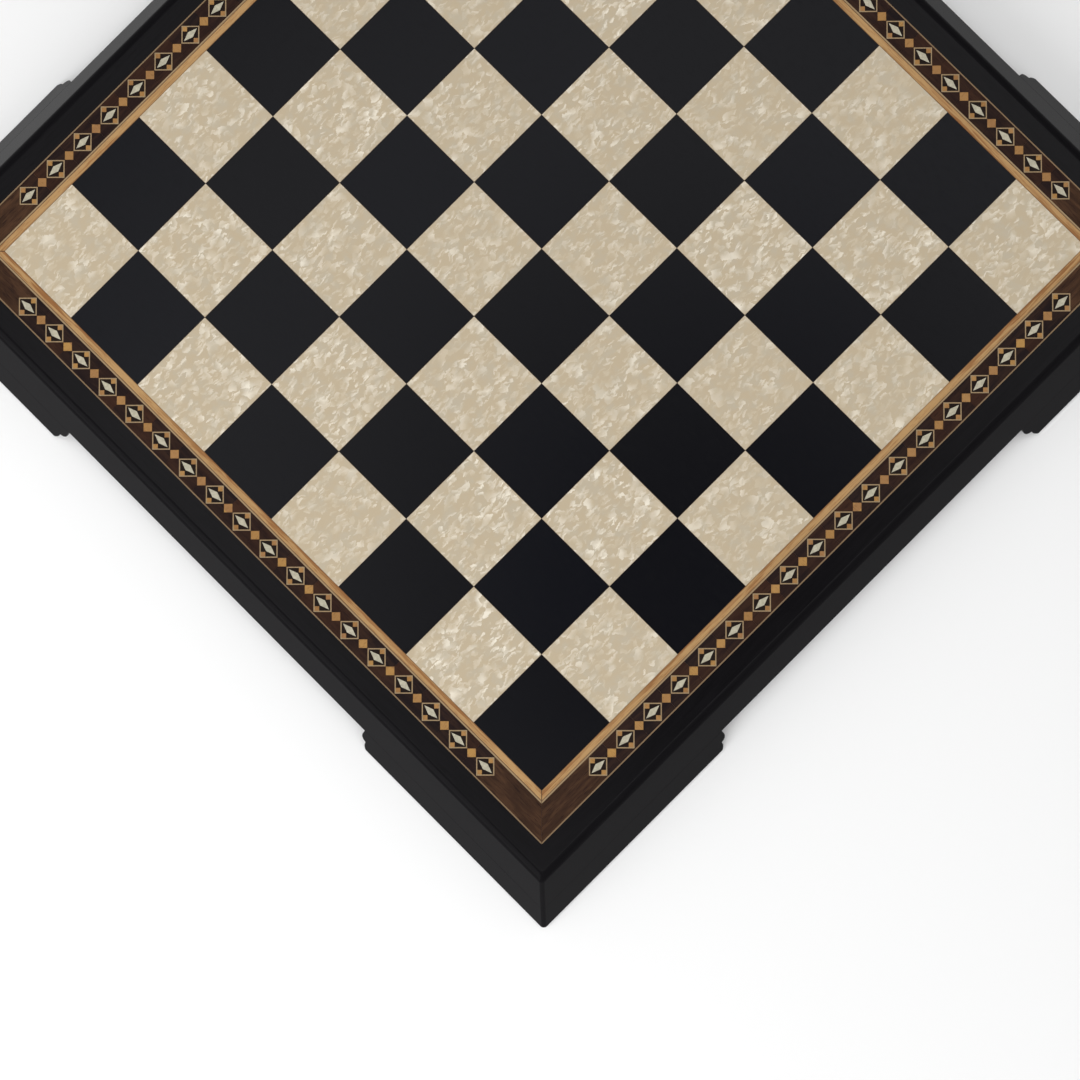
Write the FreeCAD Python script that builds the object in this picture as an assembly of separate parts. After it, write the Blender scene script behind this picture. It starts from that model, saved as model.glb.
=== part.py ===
import FreeCAD, Part
import math
import os

from FreeCAD import Vector

# Chess board with an inlaid field, a marquetry border, a black moulded frame and bracket feet.
# Millimetres. The origin is on the table, under the board's middle. +Z is up, the first player
# sits at -Y, and the square at that player's left hand (-X, -Y) is a dark one.

# ---- Driving dimensions ----

SQUARE = 50.0                 # one square of the field
SQUARES_PER_SIDE = 8

PAD_THICKNESS = 1.5           # felt under the feet
FOOT_HEIGHT = 14.3
RAIL_HEIGHT = 20.5
INLAY_THICKNESS = 2.0         # squares, strips and marquetry all lie flush on the core
CORE_THICKNESS = 9.0
BACKING_THICKNESS = 0.8

GLUE_LINE = 0.06              # the gap between two inlaid pieces
FIT = 0.05                    # the play all round a piece that goes into a slot or a hole

OAK_STRIP_WIDTH = 3.6
INNER_LINE_WIDTH = 1.2        # with its own dark hairline on the oak's side
OUTER_LINE_WIDTH = 0.7
BORDER_WIDTH = 19.65          # from the field to the frame

DIAMONDS_PER_SIDE = 18
DIAMOND_PITCH = 20.05
DIAMOND_REACH = 6.7           # from a diamond's middle to its corners
OUTLINE_WIDTH = 0.6           # the pale strip round a diamond
LOZENGE_REACH = 3.15          # the tan square on point between two diamonds
CORNER_REACH = 1.7            # the small tan square in a diamond's corner
PEARL_LENGTH = 9.8
PEARL_WIDTH = 3.7

SLOPE_DEGREES = 60.0          # of the moulded faces, from the table
RAIL_FOOT_LINE = 244.8        # from the middle to the rail's lower outer edge
TOP_ROUND = 6.5               # between the rail's flat top and its slope
ARRIS = 0.6                   # on the feet's lower edges and the ledge
RAIL_ARRIS = 0.2              # on the rail's lower outer edge, where the foot continues the slope
CORNER_ROUND = 2.5            # on the frame's four upright corners
LEDGE_WIDTH = 12.0            # the step inside the rail that carries the panel

FOOT_REACH = 111.8            # from the side's middle to the foot's inner end, at the top
FOOT_INNER_FACE = 226.0
UPPER_LOBE = 4.2              # radii of the two rounds at the foot's end
LOWER_LOBE = 5.6
LOBE_STEP = 0.9               # the upright quirk between the two rounds

SPLINE_SIZE = (26.0, 14.0, 3.0)
SPLINE_MIDDLE = 224.0         # where it crosses the mitre, from the middle along X and along Y
SPLINE_LIFT = 2.5             # above the rail's lower face
GLUE_BLOCK_LEG = 34.0
GLUE_BLOCK_LIFT = 1.0         # above the foot's lower face

SCREW_RADIUS = 1.75
SCREW_HEAD_RADIUS = 3.5
SCREW_HEAD_HEIGHT = 2.2
SCREW_LENGTH = 25.0
SCREW_POINT = 4.0
SCREW_SLOT = (1.0, 0.9)       # the driver slot's width and depth
SCREW_ALONG = 155.0           # along the side, from its middle
SCREW_OUT = 233.0             # across the side, from the board's middle

PAD_RADIUS = 9.0
PAD_OUT = 238.0
PAD_ALONG = 132.0

# ---- Sizes that follow ----

FIELD_HALF = SQUARE * SQUARES_PER_SIDE / 2
FRAME_INNER = FIELD_HALF + BORDER_WIDTH
OAK_OUTER = FIELD_HALF + OAK_STRIP_WIDTH
BAND_INNER = OAK_OUTER + INNER_LINE_WIDTH
BAND_OUTER = FRAME_INNER - OUTER_LINE_WIDTH
BAND_MIDDLE = (BAND_INNER + BAND_OUTER) / 2
BAND_REACH = (BAND_OUTER - BAND_INNER) / 2

RAIL_LOW = PAD_THICKNESS + FOOT_HEIGHT
TOP = RAIL_LOW + RAIL_HEIGHT
CORE_TOP = TOP - INLAY_THICKNESS
CORE_LOW = CORE_TOP - CORE_THICKNESS
BACKING_LOW = CORE_LOW - BACKING_THICKNESS
SPLINE_LOW = RAIL_LOW + SPLINE_LIFT

FLARE = 1 / math.tan(math.radians(SLOPE_DEGREES))      # how far the slope goes out per mm down
FLOOR_LINE = RAIL_FOOT_LINE + FOOT_HEIGHT * FLARE      # the foot's lower outer edge
SHOULDER_LINE = RAIL_FOOT_LINE - RAIL_HEIGHT * FLARE   # where slope and flat top would meet

CUT_MARGIN = 10.0             # how far the cutting shapes go past what they cut
SIDES = ("front", "right", "back", "left")
CORNERS = ("front_right", "back_right", "back_left", "front_left")

os.makedirs("parts", exist_ok=True)


# ---- Helpers ----


def write(node, solids):
    """Write one named sub-part, as a group if it has several solids."""
    shape = solids[0] if len(solids) == 1 else Part.makeCompound(solids)
    assert shape.isValid() and all(solid.isClosed() for solid in shape.Solids), node
    shape.exportStep(f"parts/{node}.step")


def inset(outline, gap):
    """A closed outline with each edge moved inward by the gap."""
    following = outline[1:] + outline[:1]
    preceding = outline[-1:] + outline[:-1]
    area = sum(a[0] * b[1] - b[0] * a[1] for a, b in zip(outline, following))
    turn = math.copysign(1, area)
    moved = []
    for before, point, after in zip(preceding, outline, following):
        normals = []
        for start, end in ((before, point), (point, after)):
            run = math.dist(start, end)
            normals.append((turn * (start[1] - end[1]) / run, turn * (end[0] - start[0]) / run))
        (ax, ay), (bx, by) = normals
        share = gap / (1 + ax * bx + ay * by)
        moved.append((point[0] + share * (ax + bx), point[1] + share * (ay + by)))
    return moved


def plate(outline, low, high):
    """A flat plate. The outline is in side coordinates: along the side, and out from the middle."""
    corners = [Vector(along, -out, low) for along, out in outline]
    face = Part.Face(Part.makePolygon(corners + corners[:1]))
    return face.extrude(Vector(0, 0, high - low))


def inlay(outline):
    """One piece of the top's inlay, with half a glue line left free all round it."""
    return plate(inset(outline, GLUE_LINE / 2), CORE_TOP, TOP)


def turned(shape, side):
    """A copy of something made for the front side, turned to another side."""
    copy = shape.copy()
    copy.rotate(Vector(0, 0, 0), Vector(0, 0, 1), 90 * SIDES.index(side))
    return copy


def rounded_wire(corners):
    """A closed wire through (point, radius) corners, with an arc at each corner that has a radius."""
    edges = []
    starts = []
    ends = []
    count = len(corners)
    for i, (point, radius) in enumerate(corners):
        before = (corners[i - 1][0] - point).normalize()
        after = (corners[(i + 1) % count][0] - point).normalize()
        half = before.getAngle(after) / 2
        reach = radius / math.tan(half)
        starts.append(point + before * reach)
        ends.append(point + after * reach)
        if radius:
            bisector = (before + after).normalize()
            middle = point + bisector * (radius / math.sin(half) - radius)
            edges.append(Part.Arc(starts[-1], middle, ends[-1]).toShape())
    for i in range(count):
        edges.append(Part.makeLine(ends[i], starts[(i + 1) % count]))
    return Part.Wire(Part.__sortEdges__(edges))


def sector(low, high):
    """The wedge of space that belongs to the front side, between its two mitres."""
    reach = FLOOR_LINE + CUT_MARGIN
    return plate([(0, 0), (-reach, reach), (reach, reach)], low, high)


def rounded_square(half, z):
    """A square wire with the frame's corner rounds."""
    corners = [(-half, -half), (half, -half), (half, half), (-half, half)]
    return rounded_wire([(Vector(x, y, z), CORNER_ROUND) for x, y in corners])


def frame_envelope():
    """The frame's outer shape with its four sloping corners rounded."""
    wires = [rounded_square(FLOOR_LINE, PAD_THICKNESS), rounded_square(SHOULDER_LINE, TOP)]
    return Part.makeLoft(wires, True, True)


# ---- The panel: a core with squares on top and a veneer underneath ----


def make_panel():
    half = FRAME_INNER - FIT
    square = [(-half, -half), (half, -half), (half, half), (-half, half)]
    write("core_panel", [plate(square, CORE_LOW, CORE_TOP)])
    write("backing_veneer", [plate(square, BACKING_LOW, CORE_LOW)])


def make_squares():
    size = SQUARE - GLUE_LINE
    for rank in range(SQUARES_PER_SIDE):
        squares = {"dark": [], "pearl": []}
        for file in range(SQUARES_PER_SIDE):
            corner = Vector(
                file * SQUARE - FIELD_HALF + GLUE_LINE / 2,
                rank * SQUARE - FIELD_HALF + GLUE_LINE / 2,
                CORE_TOP,
            )
            colour = "dark" if (rank + file) % 2 == 0 else "pearl"
            squares[colour].append(Part.makeBox(size, size, INLAY_THICKNESS, corner))
        for colour, solids in squares.items():
            write(f"{colour}_squares_rank_{rank + 1}", solids)


# ---- The border: strips and marquetry, the same on each side ----


def strip(inner, outer):
    """A straight strip between two distances from the middle, mitred at both ends."""
    return inlay([(-inner, inner), (inner, inner), (outer, outer), (-outer, outer)])


def on_point(middle, out, reach):
    """A square on point in side coordinates."""
    return [(middle - reach, out), (middle, out + reach), (middle + reach, out), (middle, out - reach)]


def diamond_outline(middle):
    outer = inlay(on_point(middle, BAND_MIDDLE, DIAMOND_REACH))
    hole = on_point(middle, BAND_MIDDLE, DIAMOND_REACH - OUTLINE_WIDTH * math.sqrt(2))
    return outer.cut(plate(hole, CORE_TOP - CUT_MARGIN, TOP + CUT_MARGIN))


def pearl_rhombus(middle):
    half_length = PEARL_LENGTH / 2
    half_width = PEARL_WIDTH / 2
    return inlay([
        (middle - half_length, BAND_MIDDLE),
        (middle, BAND_MIDDLE + half_width),
        (middle + half_length, BAND_MIDDLE),
        (middle, BAND_MIDDLE - half_width),
    ])


def diamond_infills(middle):
    """The two dark pieces inside a diamond, above and below its pearl."""
    room = DIAMOND_REACH - OUTLINE_WIDTH * math.sqrt(2)
    pieces = []
    for up in (1, -1):
        outline = [
            (-room, 0), (-CORNER_REACH, room - CORNER_REACH), (0, room - 2 * CORNER_REACH),
            (CORNER_REACH, room - CORNER_REACH), (room, 0), (PEARL_LENGTH / 2, 0),
            (0, PEARL_WIDTH / 2), (-PEARL_LENGTH / 2, 0),
        ]
        pieces.append(inlay([(middle + s, BAND_MIDDLE + up * d) for s, d in outline]))
    return pieces


def corner_squares(middle):
    """The two small tan squares in a diamond's inner and outer corner."""
    offset = DIAMOND_REACH - OUTLINE_WIDTH * math.sqrt(2) - CORNER_REACH
    outs = (BAND_MIDDLE - offset, BAND_MIDDLE + offset)
    return [inlay(on_point(middle, out, CORNER_REACH)) for out in outs]


def ground_quarters(lozenge):
    """The four dark pieces round a tan lozenge, up to the diamonds on both sides of it."""
    diamond = DIAMOND_PITCH / 2
    pieces = []
    for along in (1, -1):
        for up in (1, -1):
            outline = [
                (diamond, BAND_REACH), (0, BAND_REACH), (0, LOZENGE_REACH), (LOZENGE_REACH, 0),
                (diamond - DIAMOND_REACH, 0), (diamond, DIAMOND_REACH),
            ]
            pieces.append(inlay([(lozenge + along * s, BAND_MIDDLE + up * d) for s, d in outline]))
    return pieces


def ground_end(last, direction):
    """The plain piece from the last diamond to the mitre."""
    outline = [
        (last, BAND_OUTER), (BAND_OUTER, BAND_OUTER), (BAND_INNER, BAND_INNER),
        (last, BAND_INNER), (last, BAND_MIDDLE - DIAMOND_REACH),
        (last + DIAMOND_REACH, BAND_MIDDLE), (last, BAND_MIDDLE + DIAMOND_REACH),
    ]
    return inlay([(direction * s, d) for s, d in outline])


def make_border():
    first = -(DIAMONDS_PER_SIDE - 1) * DIAMOND_PITCH / 2
    diamonds = [first + i * DIAMOND_PITCH for i in range(DIAMONDS_PER_SIDE)]
    lozenges = [middle + DIAMOND_PITCH / 2 for middle in diamonds[:-1]]
    groups = {
        "oak_strip": [strip(FIELD_HALF, OAK_OUTER)],
        "inner_line": [strip(OAK_OUTER, BAND_INNER)],
        "outer_line": [strip(BAND_OUTER, FRAME_INNER)],
        "diamond_outlines": [diamond_outline(middle) for middle in diamonds],
        "diamond_pearls": [pearl_rhombus(middle) for middle in diamonds],
        "tan_lozenges": [inlay(on_point(m, BAND_MIDDLE, LOZENGE_REACH)) for m in lozenges],
        "marquetry_ground": [ground_end(diamonds[-1], 1), ground_end(diamonds[-1], -1)],
    }
    for middle in diamonds:
        groups["tan_lozenges"] += corner_squares(middle)
        groups["marquetry_ground"] += diamond_infills(middle)
    for middle in lozenges:
        groups["marquetry_ground"] += ground_quarters(middle)
    for side in SIDES:
        for name, solids in groups.items():
            write(f"{name}_{side}", [turned(solid, side) for solid in solids])


# ---- The frame: four mitred rails on four bracket feet ----


def side_profile(corners, reach):
    """A bar along the front side, from an outline of (out, z, radius) corners."""
    wire = rounded_wire([(Vector(-reach, -out, z), radius) for out, z, radius in corners])
    return Part.Face(wire).extrude(Vector(2 * reach, 0, 0))


def spline(play):
    """The key across the front right mitre, with play all round it when it is the slot."""
    length, width, height = (size + 2 * play for size in SPLINE_SIZE)
    key = Part.makeBox(length, width, height, Vector(-length / 2, -width / 2, SPLINE_LOW - play))
    key.rotate(Vector(0, 0, 0), Vector(0, 0, 1), -45)
    key.translate(Vector(SPLINE_MIDDLE, -SPLINE_MIDDLE, 0))
    return key


def screw(play):
    """A countersunk wood screw at the front side's right foot, point up; fatter as a hole."""
    low = PAD_THICKNESS
    neck = low + SCREW_HEAD_HEIGHT
    point = low + SCREW_LENGTH + play
    head = SCREW_HEAD_RADIUS + play
    shank = SCREW_RADIUS + play
    outline = [(0, low), (head, low), (shank, neck), (shank, point - SCREW_POINT), (0, point)]
    corners = [Vector(radius, 0, z) for radius, z in outline]
    body = Part.Face(Part.makePolygon(corners + corners[:1])).revolve(
        Vector(0, 0, 0), Vector(0, 0, 1), 360
    )
    body.translate(Vector(SCREW_ALONG, -SCREW_OUT, 0))
    return body


def slotted_screw():
    width, depth = SCREW_SLOT
    length = 2 * SCREW_HEAD_RADIUS + CUT_MARGIN
    low = PAD_THICKNESS - CUT_MARGIN
    corner = Vector(SCREW_ALONG - length / 2, -SCREW_OUT - width / 2, low)
    return screw(0).cut(Part.makeBox(length, width, depth + CUT_MARGIN, corner))


def mirrored(shape):
    """A copy on the other half of the front side."""
    return shape.mirror(Vector(0, 0, 0), Vector(1, 0, 0))


def front_rail(envelope):
    ledge = FRAME_INNER - LEDGE_WIDTH
    bar = side_profile(
        [
            (FRAME_INNER, TOP, 0), (SHOULDER_LINE, TOP, TOP_ROUND),
            (RAIL_FOOT_LINE, RAIL_LOW, RAIL_ARRIS), (ledge, RAIL_LOW, ARRIS),
            (ledge, BACKING_LOW, 0), (FRAME_INNER, BACKING_LOW, 0),
        ],
        FLOOR_LINE + CUT_MARGIN,
    )
    rail = bar.common(sector(0, TOP + CUT_MARGIN)).common(envelope)
    for hole in (spline(FIT), screw(FIT)):
        rail = rail.cut(hole).cut(mirrored(hole))
    return rail


def foot_end_profile():
    """The foot seen from the front: a block whose inner end has two rounded lobes."""
    top = RAIL_LOW
    low = PAD_THICKNESS
    notch = FOOT_REACH + UPPER_LOBE
    lobe_low = low + LOWER_LOBE
    upper_low = lobe_low + LOBE_STEP
    upper_high = upper_low + UPPER_LOBE
    end = FLOOR_LINE + CUT_MARGIN
    diagonal = math.sqrt(0.5)

    def at(x, z):
        return Vector(x, 0, z)

    edges = [
        Part.makeLine(at(FOOT_REACH, top), at(FOOT_REACH, upper_high)),
        Part.Arc(
            at(FOOT_REACH, upper_high),
            at(notch - UPPER_LOBE * diagonal, upper_high - UPPER_LOBE * diagonal),
            at(notch, upper_low),
        ).toShape(),
        Part.makeLine(at(notch, upper_low), at(notch, lobe_low)),
        Part.Arc(
            at(notch, lobe_low),
            at(notch + LOWER_LOBE * (1 - diagonal), lobe_low - LOWER_LOBE * diagonal),
            at(notch + LOWER_LOBE, low),
        ).toShape(),
        Part.makeLine(at(notch + LOWER_LOBE, low), at(end, low)),
        Part.makeLine(at(end, low), at(end, top)),
        Part.makeLine(at(end, top), at(FOOT_REACH, top)),
    ]
    face = Part.Face(Part.Wire(edges))
    return face.extrude(Vector(0, -end, 0))


def front_foot_half(envelope):
    """The front side's half of its right foot, mitred at the corner."""
    reach = FLOOR_LINE + CUT_MARGIN
    bar = side_profile(
        [
            (FOOT_INNER_FACE, RAIL_LOW, 0), (RAIL_FOOT_LINE, RAIL_LOW, 0),
            (FLOOR_LINE, PAD_THICKNESS, ARRIS), (FOOT_INNER_FACE, PAD_THICKNESS, ARRIS),
        ],
        reach,
    )
    half = bar.common(foot_end_profile()).common(sector(0, TOP)).common(envelope)
    return half.cut(screw(FIT))


def glue_block():
    corner = FOOT_INNER_FACE - FIT
    far = corner - GLUE_BLOCK_LEG
    outline = [(corner, corner), (far, corner), (corner, far)]
    return plate(outline, PAD_THICKNESS + GLUE_BLOCK_LIFT, RAIL_LOW)


def pads():
    """The felt pads of the front right foot: one at its corner and one at each inner end."""
    places = [(PAD_OUT, -PAD_OUT), (PAD_ALONG, -PAD_OUT), (PAD_OUT, -PAD_ALONG)]
    return [Part.makeCylinder(PAD_RADIUS, PAD_THICKNESS, Vector(x, y, 0)) for x, y in places]


def make_frame():
    envelope = frame_envelope()
    rail = front_rail(envelope)
    right_half = front_foot_half(envelope)
    left_half = mirrored(right_half)
    driven = slotted_screw()
    pairs = {
        "mitre_splines": [spline(0)],
        "foot_glue_blocks": [glue_block()],
        "foot_screws": [driven, mirrored(driven)],
        "felt_pads": pads(),
    }
    for i, side in enumerate(SIDES):
        following = SIDES[(i + 1) % len(SIDES)]
        write(f"frame_rail_{side}", [turned(rail, side)])
        write(f"corner_foot_{CORNERS[i]}", [turned(right_half, side), turned(left_half, following)])
    for name, solids in pairs.items():
        write(name, [turned(solid, side) for side in SIDES for solid in solids])


make_panel()
make_squares()
make_border()
make_frame()
print("overall", 2 * FLOOR_LINE, "x", 2 * FLOOR_LINE, "x", TOP)
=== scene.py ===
import math

import bmesh
import bpy
from bpy.props import FloatProperty, FloatVectorProperty, PointerProperty
from mathutils import Matrix, Vector


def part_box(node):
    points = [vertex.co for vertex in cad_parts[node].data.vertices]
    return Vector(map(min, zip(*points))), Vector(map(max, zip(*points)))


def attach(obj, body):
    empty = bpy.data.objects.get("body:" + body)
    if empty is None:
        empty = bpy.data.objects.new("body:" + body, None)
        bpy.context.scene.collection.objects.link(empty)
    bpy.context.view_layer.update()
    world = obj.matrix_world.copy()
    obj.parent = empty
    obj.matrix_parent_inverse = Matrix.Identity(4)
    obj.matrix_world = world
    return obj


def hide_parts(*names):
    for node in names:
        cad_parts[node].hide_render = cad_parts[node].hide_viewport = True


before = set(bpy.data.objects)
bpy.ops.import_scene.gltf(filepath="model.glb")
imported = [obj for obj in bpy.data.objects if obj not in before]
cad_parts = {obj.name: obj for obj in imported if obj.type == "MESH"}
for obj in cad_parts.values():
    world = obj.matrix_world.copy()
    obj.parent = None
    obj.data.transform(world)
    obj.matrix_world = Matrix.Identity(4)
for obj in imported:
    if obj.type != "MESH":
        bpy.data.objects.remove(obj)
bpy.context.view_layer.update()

bl_info = {
    "name": "Inlaid chess board",
    "version": (1, 0, 0),
    "blender": (4, 5, 0),
    "location": "View3D > Sidebar > Chess board",
    "description": "Builds an inlaid chess board with a moulded frame and bracket feet",
    "category": "Object",
}

MM = 0.001
BODY = "root"
SIDES = ("front", "right", "back", "left")
CORNERS = ("front_right", "back_right", "back_left", "front_left")
RANKS = range(1, 9)

# How brightly the tent is lit: places from 0 overhead to 1 at the horizon, and shares of its ring's light.
TENT = ((0.045, 0.0), (0.16, 1.0), (0.22, 1.0), (0.31, 0.3), (0.65, 0.13), (0.999, 0.17))
# Where the tent's dark hole stands off the vertical, and how far the near corner's side is the brighter.
TENT_HOLE = (0.04, 0.0, 0.0)
TENT_LEAN = 0.2
NEAR_CORNER = (-math.sqrt(0.5), -math.sqrt(0.5), 0.0)
# The side softbox: its place, the point that it faces, its width and its height.
SIDE_SOFTBOX = ((-1.3, -0.05, 0.77), (-0.24, -0.05, 0), 1.4, 1.15)
# The layers of flakes in the pearl, each pale flake carrying a painted sheen: turn in degrees, length over
# width, width in mm, share shown.
PEARL_FLAKES = (
    (12, 1.8, 2.2, 0.22),
    (74, 2.4, 1.6, 0.22),
    (133, 1.5, 3.6, 0.24),
    (40, 3.4, 1.0, 0.16),
)
# How far from a square's edge, in mm, the dark joint begins and is at its darkest.
JOINT = (0.16, 0.06)
# Segments round a bevelled corner of a foot's lobe, and planes round the frame's corner, arris and shoulder.
LOBE_STEPS, CORNER_STEPS, ARRIS_STEPS, SHOULDER_STEPS = 10, 6, 8, 12
# How near two places are the same place.
NEAR = 0.01 * MM

# ---- Places that the frame gives, in metres ----

RAIL_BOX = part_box("frame_rail_front")
FOOT_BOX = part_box("corner_foot_front_right")
PAD_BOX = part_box("felt_pads")
TOP = RAIL_BOX[1].z
RAIL_LOW = RAIL_BOX[0].z
FOOT_LOW = FOOT_BOX[0].z
LEDGE_LINE = -RAIL_BOX[1].y
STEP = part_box("backing_veneer")[0].z
FOOT_REACH = FOOT_BOX[0].x
FIELD_LINE = -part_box("oak_strip_front")[1].y
OAK_LINE = -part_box("oak_strip_front")[0].y
BAND_INNER = -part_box("inner_line_front")[0].y
BAND_OUTER = -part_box("outer_line_front")[1].y


# ---- Sizes, colours and lights that a user may change ----


def tone(red, green, blue):
    """A screen colour, from 0 to 255, as the linear colour that a shader takes."""
    shares = [channel / 255 for channel in (red, green, blue)]
    return [s / 12.92 if s <= 0.04045 else ((s + 0.055) / 1.055) ** 2.4 for s in shares]


def length(name, description, default):
    return FloatProperty(name=name, description=description, default=default, min=0, unit="LENGTH")


def colour(name, description, default):
    return FloatVectorProperty(
        name=name, description=description, default=tone(*default), size=3, min=0, max=1,
        subtype="COLOR",
    )


def strength(name, description, default):
    return FloatProperty(name=name, description=description, default=default, min=0)


class BoardSizes(bpy.types.PropertyGroup):
    """The sizes of the frame's mouldings and the inlay's pattern."""

    square: length("Square", "Side of one square of the field", 50 * MM)
    border: length("Border", "Width of the border between field and frame", 19.65 * MM)
    pitch: length("Diamond pitch", "From one diamond of the border to the next", 20.05 * MM)
    diamond: length("Diamond reach", "From a diamond's middle to its corners", 6.7 * MM)
    slope: FloatProperty(
        name="Slope", description="Angle of the moulded faces above the table",
        default=math.radians(60), unit="ROTATION",
    )
    top_round: length("Top round", "Radius between the flat top and the slope", 6.5 * MM)
    arris: length("Arris", "Radius on the feet's lower outer edges", 0.6 * MM)
    rail_arris: length("Rail arris", "Radius on the rails' lower outer edges", 0.2 * MM)
    eased: length("Eased edge", "Width of the sanding on the other edges", 0.35 * MM)
    corner_round: length("Corner round", "Radius of the frame's upright corners", 2.5 * MM)
    upper_lobe: length("Upper lobe", "Radius of the upper round at a foot's end", 4.2 * MM)
    lower_lobe: length("Lower lobe", "Radius of the lower round at a foot's end", 5.6 * MM)
    lobe_step: length("Lobe step", "Height of the upright quirk between the two rounds", 0.9 * MM)
    foot_inner: length("Foot inner face", "From the middle to a foot's inner face", 226 * MM)
    pad_radius: length("Pad radius", "Radius of a felt pad", 9 * MM)
    pad_along: length("Pad place", "From a side's middle to the pad at a foot's inner end", 132 * MM)
    block_leg: length("Glue block leg", "Length of a glue block along the foot", 34 * MM)


class BoardFinishes(bpy.types.PropertyGroup):
    """The colours of the woods, the pearl and the fittings."""

    frame_black: colour("Frame", "Black stained wood of rails and feet", (14, 13, 15))
    square_black: colour("Dark square", "Black dyed wood of the dark squares", (13, 13, 16))
    pearl_base: colour("Pearl", "Ground colour of the pearl squares", (176, 161, 136))
    # The flakes' own pale colour, which also paints the sheen across each flake.
    pearl_flake_and_sheen: colour("Pearl flake", "Pale flakes in the pearl", (228, 221, 206))
    pearl_grey: colour("Pearl grey", "Cool patches in the pearl", (174, 163, 143))
    oak: colour("Tan strip", "Ground colour of the strip round the field", (166, 132, 89))
    oak_streak: colour("Tan streak", "Reddish streaks in the strip", (124, 78, 42))
    line: colour("Pale line", "Stringing and the diamonds' outlines", (148, 126, 96))
    ground_cool: colour("Cool ground", "Darkest marquetry pieces", (27, 20, 21))
    ground_warm: colour("Warm ground", "Reddest marquetry pieces", (52, 31, 22))
    walnut: colour("Walnut", "Plain end pieces of the marquetry", (52, 35, 25))
    infill: colour("Infill", "Dark pieces inside a diamond", (24, 17, 14))
    tan: colour("Golden tan", "Squares on point in the marquetry", (160, 122, 68))
    tan_dark: colour("Brown tan", "The browner of the squares on point", (136, 98, 58))
    shell: colour("Marquetry pearl", "Rhombus inside a diamond", (168, 162, 142))
    core: colour("Core", "Fibreboard under the inlay", (146, 112, 80))
    backing: colour("Backing", "Balancing veneer under the core", (92, 62, 42))
    softwood: colour("Softwood", "Glue blocks and mitre keys", (196, 162, 116))
    brass: colour("Brass", "Wood screws", (206, 168, 96))
    felt: colour("Felt", "Pads under the feet", (28, 62, 44))


class StudioSettings(bpy.types.PropertyGroup):
    """The camera, the lights and the floor."""

    camera_place: FloatVectorProperty(
        name="Camera", description="Where the camera stands", subtype="TRANSLATION",
        unit="LENGTH", default=(-0.1251, -0.1959, 1.5965),
    )
    camera_aim: FloatVectorProperty(
        name="Aim", description="The point of the top that the camera looks at",
        subtype="TRANSLATION", unit="LENGTH", default=(-0.1085, -0.1073, TOP),
    )
    lens: FloatProperty(name="Lens", description="Focal length", default=100, unit="CAMERA")
    side_light: strength("Side light", "Power of the softbox on the left", 12.5)
    tent: strength("Light tent", "Brightness of the tent's lit ring", 4.4)
    floor: colour("Floor", "Pale studio floor", (230, 230, 230))
    floor_size: length("Floor size", "Width of the floor", 12)


# ---- Finishes: procedural materials, with their patterns in millimetres of the board's frame ----


class Finish:
    """A material under construction: a Principled shader and the nodes that feed it."""

    def __init__(self, name, roughness, specular=0.5):
        self.material = bpy.data.materials.new(name)
        self.material.use_nodes = True
        self.tree = self.material.node_tree
        self.shader = self.tree.nodes["Principled BSDF"]
        self.set(self.shader, {"Roughness": roughness, "Specular IOR Level": specular})
        metres = self.node("ShaderNodeTexCoord").outputs["Object"]
        self.place = self.vector("MULTIPLY", metres, (1 / MM,) * 3)
        self.x, self.y, self.z = self.node("ShaderNodeSeparateXYZ", {0: self.place}).outputs

    def set(self, node, inputs):
        for key, value in inputs.items():
            if isinstance(value, bpy.types.NodeSocket):
                self.tree.links.new(value, node.inputs[key])
            else:
                node.inputs[key].default_value = value

    def node(self, kind, inputs=None, **settings):
        node = self.tree.nodes.new(kind)
        for key, value in settings.items():
            setattr(node, key, value)
        self.set(node, inputs or {})
        return node

    def number(self, operation, *values):
        node = self.node("ShaderNodeMath", dict(enumerate(values)), operation=operation)
        return node.outputs[0]

    def vector(self, operation, *values):
        node = self.node("ShaderNodeVectorMath", dict(enumerate(values)), operation=operation)
        return node.outputs[0]

    def joined(self, x, y, z=0.0):
        return self.node("ShaderNodeCombineXYZ", {0: x, 1: y, 2: z}).outputs[0]

    def ramp(self, value, low, high):
        """From 0 at low to 1 at high, with soft ends. Low may be the larger."""
        inputs = {"Value": value, "From Min": low, "From Max": high}
        node = self.node("ShaderNodeMapRange", inputs, interpolation_type="SMOOTHSTEP")
        return node.outputs[0]

    def spread(self, value, low, high):
        """A share from 0 to 1 as a number from low to high."""
        return self.node("ShaderNodeMapRange", {"Value": value, "To Min": low, "To Max": high}).outputs[0]

    def mix(self, share, first, second):
        """A colour between two colours, as plain tuples or sockets."""
        node = self.node("ShaderNodeMix", {0: share}, data_type="RGBA")
        self.set(node, {6: opaque(first), 7: opaque(second)})
        return node.outputs[2]

    def noise(self, place, scale, detail=2.0, roughness=0.5):
        inputs = {"Vector": place, "Scale": scale, "Detail": detail, "Roughness": roughness}
        return self.node("ShaderNodeTexNoise", inputs)

    def chance(self, place):
        """Three random numbers that are the same all over one value of place."""
        node = self.node("ShaderNodeTexWhiteNoise", {"Vector": place}, noise_dimensions="3D")
        return self.node("ShaderNodeSeparateXYZ", {0: node.outputs["Color"]}).outputs

    def along(self, direction, stretch):
        """The place with the grain's direction shrunk by stretch, so that noise runs along it."""
        scale = (1 / stretch, 1, 1) if direction == "X" else (1, 1 / stretch, 1)
        return self.vector("MULTIPLY", self.place, scale)

    def out(self):
        """The distance from the board's middle, square by square, in millimetres."""
        return self.number("MAXIMUM", self.number("ABSOLUTE", self.x), self.number("ABSOLUTE", self.y))

    def bump(self, height, distance, share=1.0):
        inputs = {"Height": height, "Distance": distance * MM, "Strength": share}
        self.set(self.shader, {"Normal": self.node("ShaderNodeBump", inputs).outputs[0]})


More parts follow.
